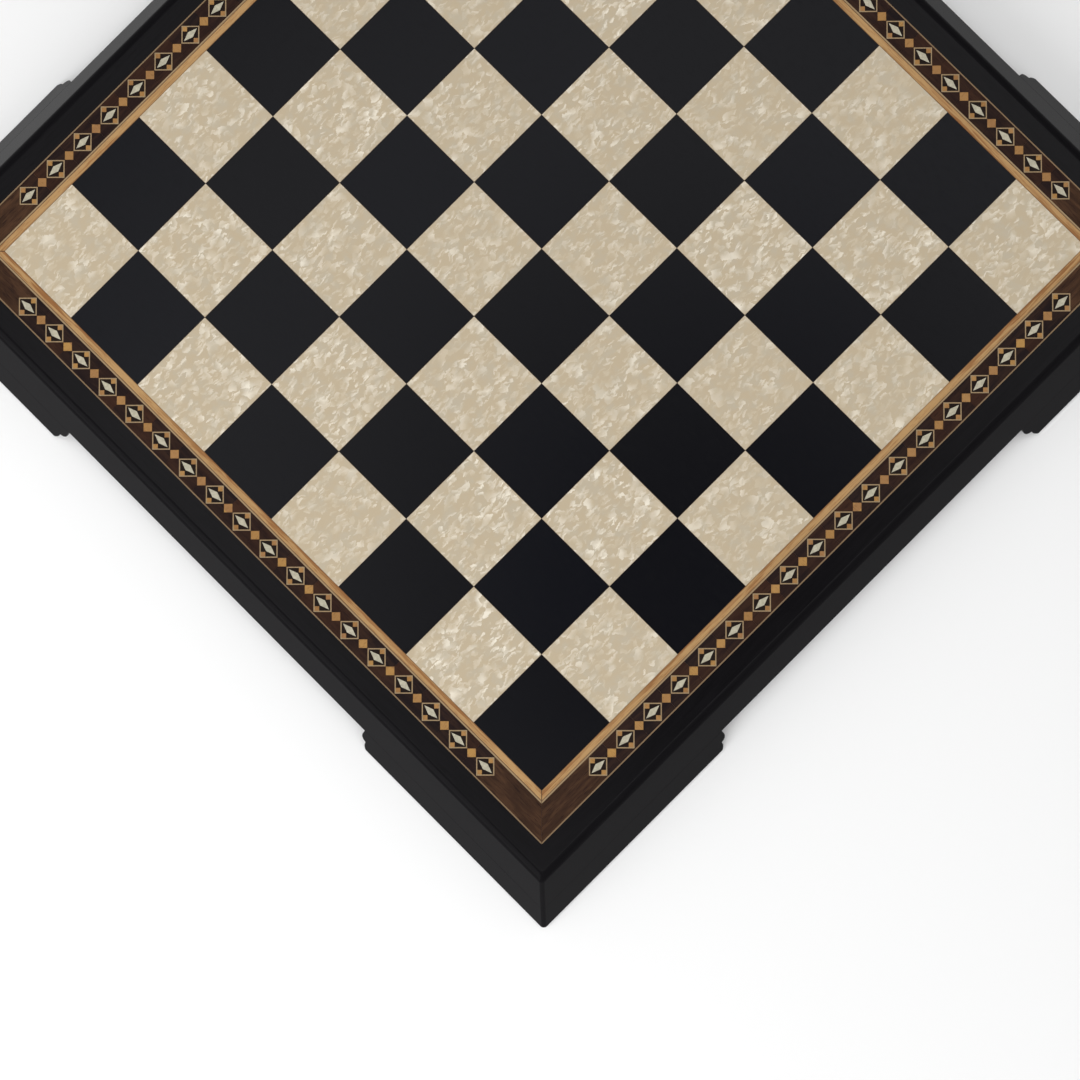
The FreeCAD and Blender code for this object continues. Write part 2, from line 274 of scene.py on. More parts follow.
def opaque(value):
    return value if isinstance(value, bpy.types.NodeSocket) else (*value, 1.0)


def tile_facts(finish, square):
    """A number for each square of the field, and the distance to its nearest edge in mm."""
    size = square / MM
    cells = [finish.number("DIVIDE", axis, size) for axis in (finish.x, finish.y)]
    tile = finish.joined(*(finish.number("FLOOR", cell) for cell in cells))
    gaps = []
    for cell in cells:
        part = finish.number("FRACT", cell)
        gaps.append(finish.number("ABSOLUTE", finish.number("SUBTRACT", part, 0.5)))
    widest = finish.number("MAXIMUM", *gaps)
    edge = finish.number("MULTIPLY", finish.number("SUBTRACT", 0.5, widest), size)
    return tile, edge


def pearl_flakes_and_sheen(finish, place, turn, stretch, size, share):
    """Pale flakes that lie along one direction, each with a painted sheen: bright at one side and fading to the
    other.
    """
    mapping = finish.node("ShaderNodeMapping", {
        "Vector": place, "Rotation": (0, 0, math.radians(turn)),
        "Scale": (1 / (size * stretch), 1 / size, 1 / size),
    }).outputs[0]
    cells = finish.node("ShaderNodeTexVoronoi", {"Vector": mapping, "Scale": 1.0, "Randomness": 1.0},
                        voronoi_dimensions="2D")
    picked, angle, bright = finish.node("ShaderNodeSeparateXYZ", {0: cells.outputs["Color"]}).outputs
    offset = finish.vector("SUBTRACT", mapping, cells.outputs["Position"])
    around = finish.number("MULTIPLY", angle, 2 * math.pi)
    heading = finish.joined(finish.number("COSINE", around), finish.number("SINE", around))
    across = finish.node("ShaderNodeVectorMath", {0: offset, 1: heading}, operation="DOT_PRODUCT")
    # Painted sheen: a gradient across the flake, brightest at one side as if that side caught the light.
    painted_sheen = finish.ramp(across.outputs["Value"], -0.45, 0.55)
    there = finish.number("LESS_THAN", picked, share)
    flake = finish.number("MULTIPLY", painted_sheen, there)
    return finish.number("MULTIPLY", flake, finish.spread(bright, 0.25, 1.0))


def pearl_squares(sizes, colours):
    finish = Finish("cream pearl", 0.3, 0.1)
    tile, edge = tile_facts(finish, sizes.square)
    lottery = finish.node("ShaderNodeTexWhiteNoise", {"Vector": tile}, noise_dimensions="3D")
    moved = finish.vector("MULTIPLY", lottery.outputs["Color"], (900.0, 900.0, 0.0))
    liveliness = finish.spread(lottery.outputs["Value"], 0.45, 0.85)
    place = finish.vector("ADD", finish.joined(finish.x, finish.y), moved)
    sway = finish.noise(place, 0.2, 5.0, 0.62).outputs["Color"]
    sway = finish.vector("MULTIPLY", finish.vector("SUBTRACT", sway, (0.5, 0.5, 0.5)), (6.0, 6.0, 0.0))
    bent = finish.vector("ADD", place, sway)
    crowd = finish.ramp(finish.noise(place, 0.09, 1.0).outputs[0], 0.36, 0.62)
    shade = finish.mix(finish.ramp(finish.noise(bent, 0.13, 4.0, 0.6).outputs[0], 0.4, 0.7),
                       colours.pearl_base, colours.pearl_grey)
    # The pearl's pale flakes, each with its painted sheen, laid in a few layers.
    flakes = None
    for turn, stretch, size, share in PEARL_FLAKES:
        layer = pearl_flakes_and_sheen(finish, bent, turn, stretch, size, share)
        flakes = layer if flakes is None else finish.number("MAXIMUM", flakes, layer)
    shown = finish.number("MULTIPLY", flakes, finish.spread(crowd, 0.3, 1.0))
    shade = finish.mix(finish.number("MULTIPLY", shown, liveliness), shade, colours.pearl_flake_and_sheen)
    joint = finish.ramp(edge, *JOINT)
    shade = finish.mix(finish.number("MULTIPLY", joint, 0.8), shade, tone(70, 48, 32))
    finish.set(finish.shader, {
        "Base Color": shade,
        "Roughness": finish.spread(shown, 0.34, 0.2),
    })
    return finish.material


def dark_squares(sizes, colours):
    finish = Finish("black dyed veneer", 0.12, 0.037)
    tile, edge = tile_facts(finish, sizes.square)
    bluer = finish.chance(tile)[0]
    grain = finish.noise(finish.along("Y", 14.0), 1.4, 3.0, 0.6).outputs[0]
    pores = finish.ramp(finish.noise(finish.along("Y", 22.0), 3.2, 1.0).outputs[0], 0.62, 0.72)
    base = colours.square_black
    cool = finish.mix(bluer, base, [c * s for c, s in zip(base, (0.9, 0.98, 1.2))])
    shade = finish.mix(finish.number("MULTIPLY", grain, 0.5), cool, [c * 1.5 for c in base])
    shade = finish.mix(finish.number("MULTIPLY", pores, 0.5), shade, [c * 0.5 for c in base])
    joint = finish.ramp(edge, *JOINT)
    shade = finish.mix(finish.number("MULTIPLY", joint, 0.7), shade, tone(70, 48, 32))
    finish.set(finish.shader, {"Base Color": shade, "Roughness": finish.spread(grain, 0.1, 0.14)})
    finish.bump(finish.number("SUBTRACT", grain, pores), 0.02, 0.2)
    return finish.material


def tan_strip(direction, colours):
    finish = Finish(f"tan strip along {direction}", 0.35, 0.05)
    inward = finish.number("SUBTRACT", finish.out(), FIELD_LINE / MM)
    width = (OAK_LINE - FIELD_LINE) / MM
    broad = finish.noise(finish.along(direction, 22.0), 1.0, 3.0, 0.6).outputs[0]
    patch = finish.noise(finish.along(direction, 2.5), 0.035, 2.0).outputs[0]
    fibres = finish.noise(finish.along(direction, 12.0), 1.4, 3.0, 0.7).outputs[0]
    near_field = finish.ramp(inward, width, 0.0)
    reach = finish.number("ADD", broad, finish.number("MULTIPLY", near_field, 0.16))
    streak = finish.number("MULTIPLY", finish.ramp(reach, 0.53, 0.68), finish.ramp(patch, 0.3, 0.6))
    pale = finish.mix(patch, [min(1.0, c * 1.1) for c in colours.oak], [c * 0.86 for c in colours.oak])
    shade = finish.mix(finish.number("MULTIPLY", streak, 0.8), pale, colours.oak_streak)
    dark = finish.ramp(fibres, 0.5, 0.68)
    shade = finish.mix(finish.number("MULTIPLY", dark, 0.5), shade, colours.oak_streak)
    joint = finish.ramp(inward, 0.4, 0.1)
    shade = finish.mix(finish.number("MULTIPLY", joint, 0.5), shade, tone(96, 62, 36))
    shade = finish.mix(finish.number("MULTIPLY", mitre_shadow(finish), 0.85), shade, tone(60, 38, 24))
    finish.set(finish.shader, {"Base Color": shade, "Roughness": finish.spread(fibres, 0.3, 0.45)})
    finish.bump(fibres, 0.03, 0.3)
    return finish.material


def mitre_shadow(finish):
    """A line of glue on the two diagonals, where the sides' strips meet."""
    ends = [finish.number("ABSOLUTE", axis) for axis in (finish.x, finish.y)]
    gap = finish.number("ABSOLUTE", finish.number("SUBTRACT", *ends))
    return finish.ramp(gap, 0.5, 0.15)


def pale_line(direction, colours):
    """Stringing. The inner one is glued up with a dark hairline on its side towards the field."""
    finish = Finish(f"pale stringing along {direction}", 0.35, 0.05)
    fibres = finish.noise(finish.along(direction, 18.0), 2.2, 3.0, 0.6).outputs[0]
    shade = finish.mix(fibres, [c * 0.72 for c in colours.line], [min(1.0, c * 1.18) for c in colours.line])
    outermost = finish.ramp(finish.out(), BAND_OUTER / MM - 0.4, BAND_OUTER / MM)
    shade = finish.mix(finish.number("MULTIPLY", outermost, 0.45), shade, tone(84, 60, 42))
    hairline = finish.ramp(finish.out(), OAK_LINE / MM + 0.5, OAK_LINE / MM + 0.3)
    shade = finish.mix(finish.number("MULTIPLY", hairline, 0.85), shade, tone(84, 54, 32))
    shade = finish.mix(finish.number("MULTIPLY", mitre_shadow(finish), 0.6), shade, tone(60, 38, 24))
    finish.set(finish.shader, {"Base Color": shade, "Roughness": finish.spread(fibres, 0.3, 0.42)})
    finish.bump(fibres, 0.02, 0.3)
    return finish.material


def band_place(finish, direction):
    """Along the side and out from the band's middle line, in mm."""
    run, across = (finish.x, finish.y) if direction == "X" else (finish.y, finish.x)
    middle = (BAND_INNER + BAND_OUTER) / 2 / MM
    out = finish.number("SUBTRACT", finish.number("ABSOLUTE", across), middle)
    return run, out, across


def marquetry_ground(direction, sizes, colours):
    """Small dark pieces of mixed tones, the plain end pieces, and the infill of the diamonds."""
    finish = Finish(f"walnut marquetry along {direction}", 0.3, 0.03)
    run, out, across = band_place(finish, direction)
    pitch = sizes.pitch / MM
    half = finish.number("FLOOR", finish.number("DIVIDE", run, pitch / 2))
    up = finish.number("MULTIPLY", finish.number("SIGN", out), finish.number("SIGN", across))
    warmth, depth = finish.chance(finish.joined(half, up, finish.number("SIGN", across)))[:2]
    fibres = finish.noise(finish.along(direction, 16.0), 2.4, 3.0, 0.62).outputs[0]
    figure = finish.noise(finish.along(direction, 7.0), 0.35, 3.0, 0.6).outputs[0]
    cool, warm = colours.ground_cool, colours.ground_warm
    shade = finish.mix(finish.number("POWER", warmth, 1.5), cool, warm)
    shade = finish.mix(finish.number("MULTIPLY", depth, 0.35), shade, [c * 0.6 for c in cool])
    last = 8.5 * pitch
    end = finish.number("GREATER_THAN", finish.number("ABSOLUTE", run), last)
    shade = finish.mix(end, shade, colours.walnut)
    swirl = finish.number("MULTIPLY", finish.ramp(figure, 0.38, 0.66), finish.spread(end, 0.15, 0.5))
    shade = finish.mix(swirl, shade, tone(86, 60, 42))
    shade = finish.mix(finish.ramp(fibres, 0.5, 0.75), shade, [c * 0.7 for c in cool])
    step = finish.number("FRACT", finish.number("DIVIDE", run, pitch))
    from_diamond = finish.number("MULTIPLY", finish.number("SUBTRACT", step, 0.5), pitch)
    reach = finish.number("ADD", finish.number("ABSOLUTE", from_diamond), finish.number("ABSOLUTE", out))
    inside = finish.number("LESS_THAN", reach, sizes.diamond / MM - 0.8)
    inside = finish.number("MULTIPLY", inside, finish.number(
        "LESS_THAN", finish.number("ABSOLUTE", run), last + sizes.diamond / MM))
    shade = finish.mix(inside, shade, finish.mix(fibres, colours.infill, [c * 1.6 for c in colours.infill]))
    finish.set(finish.shader, {"Base Color": shade, "Roughness": finish.spread(fibres, 0.36, 0.5)})
    finish.bump(fibres, 0.02, 0.3)
    return finish.material


def tan_pieces(direction, sizes, colours):
    finish = Finish(f"golden marquetry along {direction}", 0.35, 0.05)
    run, out, across = band_place(finish, direction)
    place = finish.number("ROUND", finish.number("DIVIDE", run, sizes.pitch / MM / 2))
    level = finish.number("ROUND", finish.number("DIVIDE", out, 4.0))
    browner, pinker = finish.chance(finish.joined(place, level, finish.number("SIGN", across)))[:2]
    fibres = finish.noise(finish.along("Y" if direction == "X" else "X", 6.0), 2.6, 3.0, 0.6).outputs[0]
    shade = finish.mix(browner, colours.tan, colours.tan_dark)
    shade = finish.mix(finish.number("MULTIPLY", pinker, 0.3), shade, tone(150, 112, 84))
    shade = finish.mix(finish.ramp(fibres, 0.48, 0.8), shade, [c * 0.75 for c in colours.tan_dark])
    finish.set(finish.shader, {"Base Color": shade})
    finish.bump(fibres, 0.02, 0.3)
    return finish.material


def shell_pieces(colours):
    finish = Finish("pale marquetry pearl", 0.25, 0.15)
    cloud = finish.noise(finish.place, 0.7, 3.0).outputs[0]
    shade = finish.mix(finish.ramp(cloud, 0.35, 0.7), [c * 0.85 for c in colours.shell],
                       [min(1.0, c * 1.08) for c in colours.shell])
    finish.set(finish.shader, {"Base Color": shade, "Roughness": finish.spread(cloud, 0.18, 0.32)})
    return finish.material


def black_frame(direction, colours):
    """Stained hardwood: its grain only just shows through the satin lacquer."""
    finish = Finish(f"black lacquered wood along {direction}", 0.14, 0.031)
    grain = finish.noise(finish.along(direction, 18.0), 0.9, 4.0, 0.6).outputs[0]
    pores = finish.ramp(finish.noise(finish.along(direction, 26.0), 2.6, 1.0).outputs[0], 0.6, 0.72)
    base = colours.frame_black
    shade = finish.mix(grain, [c * 0.6 for c in base], [c * 1.5 for c in base])
    shade = finish.mix(finish.number("MULTIPLY", pores, 0.5), shade, [c * 0.4 for c in base])
    finish.set(finish.shader, {"Base Color": shade, "Roughness": finish.spread(grain, 0.1, 0.15)})
    finish.bump(finish.number("SUBTRACT", grain, finish.number("MULTIPLY", pores, 0.6)), 0.02, 0.2)
    return finish.material


def plain_wood(name, base, direction, roughness, contrast):
    """Unpolished wood with a straight grain."""
    finish = Finish(name, roughness, 0.3)
    rings = finish.noise(finish.along(direction, 22.0), 0.35, 3.0, 0.6).outputs[0]
    fibres = finish.noise(finish.along(direction, 30.0), 2.0, 3.0, 0.7).outputs[0]
    both = finish.number("ADD", finish.number("MULTIPLY", rings, 0.65), finish.number("MULTIPLY", fibres, 0.35))
    shade = finish.mix(finish.ramp(both, 0.3, 0.7), [c * (1 - contrast) for c in base],
                       [min(1.0, c * (1 + contrast)) for c in base])
    finish.set(finish.shader, {"Base Color": shade})
    finish.bump(fibres, 0.06, 0.5)
    return finish.material


def fibreboard(colours):
    finish = Finish("fibreboard", 0.8, 0.2)
    fluff = finish.noise(finish.place, 1.8, 4.0, 0.7).outputs[0]
    shade = finish.mix(fluff, [c * 0.8 for c in colours.core], [c * 1.15 for c in colours.core])
    finish.set(finish.shader, {"Base Color": shade})
    finish.bump(fluff, 0.08, 0.5)
    return finish.material


def turned_brass(colours):
    finish = Finish("turned brass", 0.32)
    dull = finish.noise(finish.place, 1.1, 3.0).outputs[0]
    shade = finish.mix(finish.ramp(dull, 0.35, 0.75), colours.brass, [c * 0.62 for c in colours.brass])
    finish.set(finish.shader, {
        "Base Color": shade, "Metallic": 1.0, "Roughness": finish.spread(dull, 0.24, 0.45),
    })
    return finish.material


def pressed_felt(colours):
    finish = Finish("pressed felt", 0.95, 0.1)
    fluff = finish.noise(finish.place, 3.0, 5.0, 0.75).outputs[0]
    shade = finish.mix(fluff, [c * 0.6 for c in colours.felt], [c * 1.6 for c in colours.felt])
    finish.set(finish.shader, {"Base Color": shade, "Sheen Weight": 0.4, "Sheen Roughness": 0.5})
    finish.bump(fluff, 0.25, 0.8)
    return finish.material


# ---- Mesh helpers ----


def cut(mesh, point, normal):
    """Take away what lies beyond a plane, and close the cut."""
    geometry = mesh.verts[:] + mesh.edges[:] + mesh.faces[:]
    bmesh.ops.bisect_plane(mesh, geom=geometry, dist=1e-7, plane_co=point, plane_no=normal, clear_outer=True)
    bmesh.ops.holes_fill(mesh, edges=[edge for edge in mesh.edges if edge.is_boundary], sides=0)


def soften(mesh, edges, offset, segments):
    bmesh.ops.bevel(
        mesh, geom=edges, offset=offset, offset_type="OFFSET", segments=segments, profile=0.5,
        affect="EDGES", material=-1,
    )


def clean(mesh):
    """Join corners that all but touch, and drop the slivers between them."""
    speck = 0.002 * MM
    bmesh.ops.remove_doubles(mesh, verts=mesh.verts[:], dist=speck)
    bmesh.ops.dissolve_degenerate(mesh, dist=speck, edges=mesh.edges[:])


def edges_along(mesh, out, z):
    """The edges that run round the board at a distance from its middle and a height."""
    return [
        edge for edge in mesh.edges
        if all(abs(max(abs(v.co.x), abs(v.co.y)) - out) < NEAR and abs(v.co.z - z) < NEAR
               for v in edge.verts)
    ]


def sharp_edges(mesh, degrees, keep):
    """Edges with a corner sharper than an angle, where keep says that they show."""
    limit = math.radians(degrees)
    return [
        edge for edge in mesh.edges
        if edge.is_manifold and edge.calc_face_angle() > limit and keep(edge)
    ]


def piece(name, mesh, materials, nodes):
    """A finished piece in place of the nodes that it stands for."""
    bmesh.ops.recalc_face_normals(mesh, faces=mesh.faces[:])
    data = bpy.data.meshes.new(name)
    mesh.to_mesh(data)
    mesh.free()
    for material in materials:
        data.materials.append(material)
    data.polygons.foreach_set("use_smooth", [True] * len(data.polygons))
    data.set_sharp_from_angle(angle=math.radians(30))
    made = bpy.data.objects.new(name, data)
    bpy.context.scene.collection.objects.link(made)
    weighted = made.modifiers.new("flat faces stay flat", "WEIGHTED_NORMAL")
    weighted.keep_sharp = True
    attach(made, BODY)
    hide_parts(*nodes)
    return made


def add_turned(whole, part, quarter, material_index=0):
    """Add a copy of a part, turned by quarter turns about the board's upright axis."""
    copy = part.copy()
    turn = Matrix.Rotation(quarter * math.pi / 2, 3, "Z")
    bmesh.ops.rotate(copy, verts=copy.verts[:], cent=(0, 0, 0), matrix=turn)
    for face in copy.faces:
        face.material_index = material_index
    data = bpy.data.meshes.new("part")
    copy.to_mesh(data)
    copy.free()
    whole.from_mesh(data)
    bpy.data.meshes.remove(data)


def dress(nodes, material):
    """Give carried-over nodes a finish."""
    for node in nodes:
        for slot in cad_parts[node].material_slots:
            slot.material = material


# ---- The frame's shape ----


class Moulding:
    """The sloping outside of the frame, cut to shape with planes that touch it all round."""

    def __init__(self, sizes):
        self.sizes = sizes
        self.flare = 1 / math.tan(sizes.slope)
        lost = sizes.arris / math.tan(sizes.slope / 2) - sizes.arris    # by rounding the lowest edge
        self.floor_line = -FOOT_BOX[0].y + lost
        self.rail_line = self.floor_line - (RAIL_LOW - FOOT_LOW) * self.flare
        self.shoulder = self.floor_line - (TOP - FOOT_LOW) * self.flare
        self.inner = sizes.square * 4 + sizes.border

    def shave(self, mesh, out, z, angle):
        """Cut away what lies outside a plane that leans by an angle, on the front and round its corners."""
        rounds, radius = CORNER_STEPS, self.sizes.corner_round
        inset = out - radius
        for step in range(-rounds, rounds + 1):
            turn = step / rounds * math.pi / 2
            side, front = math.sin(turn), math.cos(turn)
            point = (math.copysign(inset, step) + radius * side, -inset - radius * front, z)
            rise = math.tan(angle) * (abs(side) + front)
            cut(mesh, point, (side, -front, rise))

    def shave_round(self, mesh, out, z, radius, first, last, steps):
        """Shave along an arc about a line at a distance from the middle and a height."""
        for step in range(1, steps):
            angle = first + (last - first) * step / steps
            self.shave(mesh, out + radius * math.cos(angle), z + radius * math.sin(angle), angle)

    def shave_slope(self, mesh, low_line, low, arris):
        """Shave the slope that ends at a line, and round the edge there."""
        lean = math.pi / 2 - self.sizes.slope
        self.shave(mesh, low_line, low, lean)
        middle = low_line - arris / math.tan(self.sizes.slope / 2)
        self.shave_round(mesh, middle, low + arris, arris, -math.pi / 2, lean, ARRIS_STEPS)

    def shave_shoulder(self, mesh):
        """Round the edge between the slope and the flat top."""
        radius, lean = self.sizes.top_round, math.pi / 2 - self.sizes.slope
        middle = self.shoulder - radius * math.tan(self.sizes.slope / 2)
        self.shave_round(mesh, middle, TOP - radius, radius, lean, math.pi / 2, SHOULDER_STEPS)


def bar(outline, start, end):
    """A straight bar from an outline of corners, given as places at its start."""
    mesh = bmesh.new()
    face = mesh.faces.new([mesh.verts.new(corner) for corner in outline])
    grown = bmesh.ops.extrude_face_region(mesh, geom=[face])
    moved = [v for v in grown["geom"] if isinstance(v, bmesh.types.BMVert)]
    bmesh.ops.translate(mesh, verts=moved, vec=Vector(end) - Vector(start))
    bmesh.ops.recalc_face_normals(mesh, faces=mesh.faces[:])
    return mesh


def rail(moulding, sizes):
    """The front rail: a stepped bar, shaved to the moulding and cut at its two mitres."""
    outer = moulding.floor_line
    profile = [
        (moulding.inner, TOP), (outer, TOP), (outer, RAIL_LOW), (LEDGE_LINE, RAIL_LOW),
        (LEDGE_LINE, STEP), (moulding.inner, STEP),
    ]
    mesh = bar([(-outer, -out, z) for out, z in profile], (-outer, 0, 0), (outer, 0, 0))
    for direction in (1, -1):
        cut(mesh, (0, 0, 0), (direction, 1, 0))
    moulding.shave_slope(mesh, moulding.rail_line, RAIL_LOW, sizes.rail_arris)
    moulding.shave_shoulder(mesh)
    soften(mesh, edges_along(mesh, LEDGE_LINE, RAIL_LOW), sizes.eased, 2)
    clean(mesh)
    return mesh


class CHESSBOARD_OT_frame_rails(bpy.types.Operator):
    """Make the four moulded rails"""

    bl_idname = "chessboard.frame_rails"
    bl_label = "Frame rails"

    def execute(self, context):
        sizes, colours = context.scene.board_sizes, context.scene.board_finishes
        moulding = Moulding(sizes)
        front = rail(moulding, sizes)
        for quarter, side in enumerate(SIDES):
            material = FINISHES[f"frame_{'XY'[quarter % 2]}"]
            whole = bmesh.new()
            add_turned(whole, front, quarter)
            piece(f"moulded_rail_{side}", whole, [material], [f"frame_rail_{side}"])
        front.free()
        return {"FINISHED"}


def foot_leg(moulding, sizes):
    """The front side's leg of its right foot, with the two rounded lobes at its inner end."""
    inner, outer = sizes.foot_inner, moulding.floor_line
    notch = FOOT_REACH + sizes.upper_lobe
    upper_low = FOOT_LOW + sizes.lower_lobe + sizes.lobe_step
    outline = [
        (FOOT_REACH, RAIL_LOW), (FOOT_REACH, upper_low), (notch, upper_low),
        (notch, FOOT_LOW), (outer, FOOT_LOW), (outer, RAIL_LOW),
    ]
    mesh = bar([(x, -inner, z) for x, z in outline], (0, -inner, 0), (0, -outer, 0))
    for x, z, radius in ((FOOT_REACH, upper_low, sizes.upper_lobe), (notch, FOOT_LOW, sizes.lower_lobe)):
        lobe = [e for e in mesh.edges if all(math.dist(v.co.xz, (x, z)) < NEAR for v in e.verts)]
        soften(mesh, lobe, radius, LOBE_STEPS)
    cut(mesh, (0, 0, 0), (1, 1, 0))
    moulding.shave_slope(mesh, outer, FOOT_LOW, sizes.arris)

    def shows(edge):
        on_mitre = all(abs(v.co.x + v.co.y) < 0.1 * MM for v in edge.verts)
        on_top = all(abs(v.co.z - RAIL_LOW) < NEAR for v in edge.verts)
        in_arris = any(v.co.z < FOOT_LOW + 2 * sizes.arris for v in edge.verts)
        return not (on_mitre or on_top or in_arris)

    soften(mesh, sharp_edges(mesh, 40, shows), sizes.eased, 3)
    clean(mesh)
    return mesh


class CHESSBOARD_OT_corner_feet(bpy.types.Operator):
    """Make the four bracket feet, of two mitred legs each"""

    bl_idname = "chessboard.corner_feet"
    bl_label = "Corner feet"

    def execute(self, context):
        sizes = context.scene.board_sizes
        moulding = Moulding(sizes)
        right_leg = foot_leg(moulding, sizes)
        left_leg = right_leg.copy()
        bmesh.ops.scale(left_leg, vec=(-1, 1, 1), verts=left_leg.verts[:])
        bmesh.ops.reverse_faces(left_leg, faces=left_leg.faces[:])
        for quarter, corner in enumerate(CORNERS):
            whole = bmesh.new()
            add_turned(whole, right_leg, quarter, 0)
            add_turned(whole, left_leg, quarter + 1, 1)
            grains = [FINISHES[f"frame_{'XY'[(quarter + i) % 2]}"] for i in range(2)]
            piece(f"bracket_foot_{corner}", whole, grains, [f"corner_foot_{corner}"])
        right_leg.free()
        left_leg.free()
        return {"FINISHED"}


class CHESSBOARD_OT_glue_blocks(bpy.types.Operator):
    """Make the sawn glue blocks inside the feet"""

    bl_idname = "chessboard.glue_blocks"
    bl_label = "Glue blocks"

    def execute(self, context):
        sizes = context.scene.board_sizes
        low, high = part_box("foot_glue_blocks")
        near, far = high.x, high.x - sizes.block_leg
        block = bmesh.new()
        outline = [(near, -near), (near, -far), (far, -near)]
        face = block.faces.new([block.verts.new((x, y, low.z)) for x, y in outline])
        grown = bmesh.ops.extrude_face_region(block, geom=[face])
        moved = [v for v in grown["geom"] if isinstance(v, bmesh.types.BMVert)]
        bmesh.ops.translate(block, verts=moved, vec=(0, 0, high.z - low.z))
        bmesh.ops.recalc_face_normals(block, faces=block.faces[:])
        soften(block, block.edges[:], sizes.eased, 2)
        whole = bmesh.new()
        for quarter in range(4):
            add_turned(whole, block, quarter)
        block.free()
        piece("sawn_glue_blocks", whole, [FINISHES["softwood"]], ["foot_glue_blocks"])
        return {"FINISHED"}


class CHESSBOARD_OT_felt_pads(bpy.types.Operator):
    """Make the felt pads under the feet"""

    bl_idname = "chessboard.felt_pads"
    bl_label = "Felt pads"

    def execute(self, context):
        sizes = context.scene.board_sizes
        low, high = PAD_BOX
        out = high.x - sizes.pad_radius
        whole = bmesh.new()
        for quarter in range(4):
            for x, y in ((out, -out), (sizes.pad_along, -out), (out, -sizes.pad_along)):
                pad = bmesh.new()
                middle = Matrix.Translation((x, y, (low.z + high.z) / 2))
                bmesh.ops.create_cone(
                    pad, cap_ends=True, segments=48, radius1=sizes.pad_radius,
                    radius2=sizes.pad_radius, depth=high.z - low.z, matrix=middle,
                )
                rims = [edge for edge in pad.edges if abs(edge.verts[0].co.z - edge.verts[1].co.z) < 1e-6]
                soften(pad, rims, sizes.eased, 3)
                add_turned(whole, pad, quarter)
                pad.free()
        pads = piece("felt_discs", whole, [FINISHES["felt"]], ["felt_pads"])
        return {"FINISHED"}


class CHESSBOARD_OT_field(bpy.types.Operator):
    """Finish the dark and the pearl squares"""

    bl_idname = "chessboard.field"
    bl_label = "Field of squares"

    def execute(self, context):
        dress([f"dark_squares_rank_{rank}" for rank in RANKS], FINISHES["dark"])
        dress([f"pearl_squares_rank_{rank}" for rank in RANKS], FINISHES["pearl"])
        return {"FINISHED"}


class CHESSBOARD_OT_border(bpy.types.Operator):
    """Finish the strips and the marquetry of the border"""

    bl_idname = "chessboard.border"
    bl_label = "Marquetry border"

    def execute(self, context):
        for quarter, side in enumerate(SIDES):
            grain = "XY"[quarter % 2]
            dress([f"oak_strip_{side}"], FINISHES[f"oak_{grain}"])
            dress([f"{node}_{side}" for node in ("inner_line", "outer_line", "diamond_outlines")],
                  FINISHES[f"line_{grain}"])
            dress([f"marquetry_ground_{side}"], FINISHES[f"ground_{grain}"])
            dress([f"tan_lozenges_{side}"], FINISHES[f"tan_{grain}"])
            dress([f"diamond_pearls_{side}"], FINISHES["shell"])
        return {"FINISHED"}


class CHESSBOARD_OT_panel_parts(bpy.types.Operator):
    """Finish the core, the backing, the mitre keys and the screws"""

    bl_idname = "chessboard.panel_parts"
    bl_label = "Panel and fixings"

    def execute(self, context):
        dress(["core_panel"], FINISHES["core"])
        dress(["backing_veneer"], FINISHES["backing"])
        dress(["mitre_splines"], FINISHES["softwood"])
        dress(["foot_screws"], FINISHES["brass"])
        return {"FINISHED"}


FINISHES = {}


class CHESSBOARD_OT_finishes(bpy.types.Operator):
    """Make the materials that the pieces share"""

    bl_idname = "chessboard.finishes"
    bl_label = "Finishes"

    def execute(self, context):
        sizes, colours = context.scene.board_sizes, context.scene.board_finishes
        for grain in "XY":
            FINISHES[f"frame_{grain}"] = black_frame(grain, colours)
            FINISHES[f"oak_{grain}"] = tan_strip(grain, colours)
            FINISHES[f"line_{grain}"] = pale_line(grain, colours)
            FINISHES[f"ground_{grain}"] = marquetry_ground(grain, sizes, colours)
            FINISHES[f"tan_{grain}"] = tan_pieces(grain, sizes, colours)
        FINISHES["dark"] = dark_squares(sizes, colours)
        FINISHES["pearl"] = pearl_squares(sizes, colours)
        FINISHES["shell"] = shell_pieces(colours)
        FINISHES["core"] = fibreboard(colours)
        FINISHES["backing"] = plain_wood("backing veneer", colours.backing, "Y", 0.6, 0.35)
        FINISHES["softwood"] = plain_wood("sawn softwood", colours.softwood, "X", 0.7, 0.2)
        FINISHES["brass"] = turned_brass(colours)
        FINISHES["felt"] = pressed_felt(colours)
        return {"FINISHED"}


def softbox(name, place, aim, width, height, power):
    """A soft rectangular lamp that looks at a point."""
    lamp = bpy.data.lights.new(name, "AREA")
    lamp.shape = "RECTANGLE"
    lamp.size, lamp.size_y = width, height
    lamp.energy = power
    made = bpy.data.objects.new(name, lamp)
    made.location = place
    made.rotation_euler = (Vector(aim) - Vector(place)).to_track_quat("-Z", "Y").to_euler()
    made.visible_camera = False
    bpy.context.scene.collection.objects.link(made)


